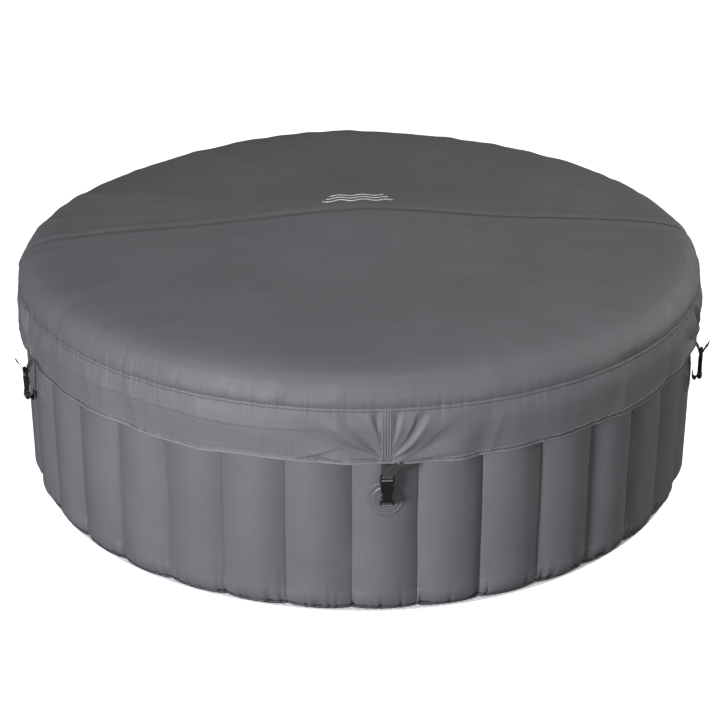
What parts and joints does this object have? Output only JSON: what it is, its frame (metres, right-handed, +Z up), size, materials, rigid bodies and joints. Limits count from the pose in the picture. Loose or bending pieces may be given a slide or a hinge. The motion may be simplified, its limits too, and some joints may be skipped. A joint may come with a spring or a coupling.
{
  "type": "inflatable hot tub",
  "caption": "Round inflatable hot tub with ribbed air walls, a buckled fabric cover over an air bladder, a ground mat and a separate heater and pump unit.",
  "frame": {"origin": "centre of the ground mat's underside, on the ground", "axes": "+Z up; -Y is the front with one buckle, and the other four buckles follow every 72 degrees; the heater unit stands behind, at +Y"},
  "size_m": [2.027, 2.4475, 0.78],
  "materials": {
    "tub_pvc": "satin laminated PVC",
    "mat_foam": "matt closed-cell foam",
    "cover_fabric": "coated woven polyester",
    "bladder_pvc": "satin PVC film",
    "black_plastic": "satin moulded",
    "webbing": "ribbed polypropylene webbing",
    "grey_plastic": "fine moulded texture",
    "pale_plastic": "satin moulded",
    "filter_pleats": "pleated filter paper",
    "steel": "brushed",
    "board": "solder mask"
  },
  "bodies": {
    "tub": {"base_sheet": "tub_pvc", "outer_wall": "tub_pvc", "inner_wall": "tub_pvc", "chamber_webs": "tub_pvc", "top_ring": "tub_pvc", "bubble_ring": "tub_pvc", "anchor_patch_front": "tub_pvc", "anchor_patch_right": "tub_pvc", "anchor_patch_back_right": "tub_pvc", "anchor_patch_back_left": "tub_pvc", "anchor_patch_left": "tub_pvc", "ground_mat": "mat_foam", "buckle_female_front": "black_plastic", "buckle_female_right": "black_plastic", "buckle_female_back_right": "black_plastic", "buckle_female_back_left": "black_plastic", "buckle_female_left": "black_plastic", "air_valve_body": "black_plastic", "cord_gland": "black_plastic", "pump_body": "black_plastic", "blower_body": "black_plastic", "drain_body": "grey_plastic", "unit_base": "grey_plastic", "unit_shell": "grey_plastic", "suction_fitting": "pale_plastic", "return_fitting": "pale_plastic", "air_fitting": "pale_plastic", "filter_housing": "pale_plastic", "unit_panel": "pale_plastic", "heater": "steel", "circuit_board": "board"},
    "cover": {"cover_top_front": "cover_fabric", "cover_top_rear": "cover_fabric", "cover_skirt": "cover_fabric", "lid_bladder": "bladder_pvc", "lid_bladder_valve": "black_plastic", "buckle_male_front": "black_plastic", "buckle_male_right": "black_plastic", "buckle_male_back_right": "black_plastic", "buckle_male_back_left": "black_plastic", "buckle_male_left": "black_plastic", "strap_front": "webbing", "strap_right": "webbing", "strap_back_right": "webbing", "strap_back_left": "webbing", "strap_left": "webbing"},
    "air_valve_stem": {"air_valve_stem": "black_plastic"},
    "air_valve_cap": {"air_valve_cap": "black_plastic"},
    "drain_cap": {"drain_cap": "grey_plastic"},
    "filter_cap": {"filter_cap": "pale_plastic"},
    "filter_cartridge": {"filter_cartridge": "filter_pleats"},
    "union_nut_suction": {"union_nut_suction": "grey_plastic"},
    "union_nut_return": {"union_nut_return": "grey_plastic"},
    "unit_handle": {"unit_handle": "grey_plastic"},
    "pump_impeller": {"pump_impeller": "pale_plastic"},
    "blower_fan": {"blower_fan": "pale_plastic"},
    "button_power": {"button_power": "pale_plastic"},
    "button_heat": {"button_heat": "pale_plastic"},
    "button_filter": {"button_filter": "pale_plastic"},
    "button_bubble": {"button_bubble": "pale_plastic"}
  },
  "joints": [
    {"name": "cover_lift", "type": "slide", "parent": "tub", "child": "cover", "axis": [0, 0, 1], "range_m": [0, 0.75]},
    {"name": "air_valve_press", "type": "slide", "parent": "tub", "child": "air_valve_stem", "axis": [0.4339, -0.901, 0], "range_m": [0, 0.004], "stiffness_N_per_m": 300},
    {"name": "air_valve_cap_pull", "type": "slide", "parent": "tub", "child": "air_valve_cap", "axis": [-0.4339, 0.901, 0], "range_m": [0, 0.04]},
    {"name": "drain_cap_turn", "type": "hinge", "parent": "tub", "child": "drain_cap", "pos_m": [0.27003, 0.97842, 0.062], "axis": [0.266, 0.964, 0], "continuous": true},
    {"name": "filter_cap_pull", "type": "slide", "parent": "tub", "child": "filter_cap", "axis": [0, -1, 0], "range_m": [0, 0.2]},
    {"name": "filter_cartridge_pull", "type": "slide", "parent": "tub", "child": "filter_cartridge", "axis": [0, -1, 0], "range_m": [0, 0.1]},
    {"name": "union_nut_suction_turn", "type": "hinge", "parent": "tub", "child": "union_nut_suction", "pos_m": [-0.087, 1.048, 0.11], "axis": [0, 1, 0], "continuous": true},
    {"name": "union_nut_return_turn", "type": "hinge", "parent": "tub", "child": "union_nut_return", "pos_m": [0.087, 1.048, 0.11], "axis": [0, 1, 0], "continuous": true},
    {"name": "unit_handle_swing", "type": "hinge", "parent": "tub", "child": "unit_handle", "pos_m": [0, 1.382, 0.33], "axis": [1, 0, 0], "range_deg": [0, 130]},
    {"name": "pump_spin", "type": "hinge", "parent": "tub", "child": "pump_impeller", "pos_m": [-0.095, 1.17, 0.085], "axis": [0, 0, 1], "continuous": true},
    {"name": "blower_spin", "type": "hinge", "parent": "tub", "child": "blower_fan", "pos_m": [0.11, 1.256, 0.096], "axis": [0, 1, 0], "continuous": true},
    {"name": "button_power_press", "type": "slide", "parent": "tub", "child": "button_power", "axis": [0, 0, -1], "range_m": [0, 0.0015], "stiffness_N_per_m": 400},
    {"name": "button_heat_press", "type": "slide", "parent": "tub", "child": "button_heat", "axis": [0, 0, -1], "range_m": [0, 0.0015], "stiffness_N_per_m": 400},
    {"name": "button_filter_press", "type": "slide", "parent": "tub", "child": "button_filter", "axis": [0, 0, -1], "range_m": [0, 0.0015], "stiffness_N_per_m": 400},
    {"name": "button_bubble_press", "type": "slide", "parent": "tub", "child": "button_bubble", "axis": [0, 0, -1], "range_m": [0, 0.0015], "stiffness_N_per_m": 400}
  ],
  "couplings": [
    {"joint": "filter_cartridge_pull", "follows": "filter_cap_pull", "ratio": 0.5}
  ]
}
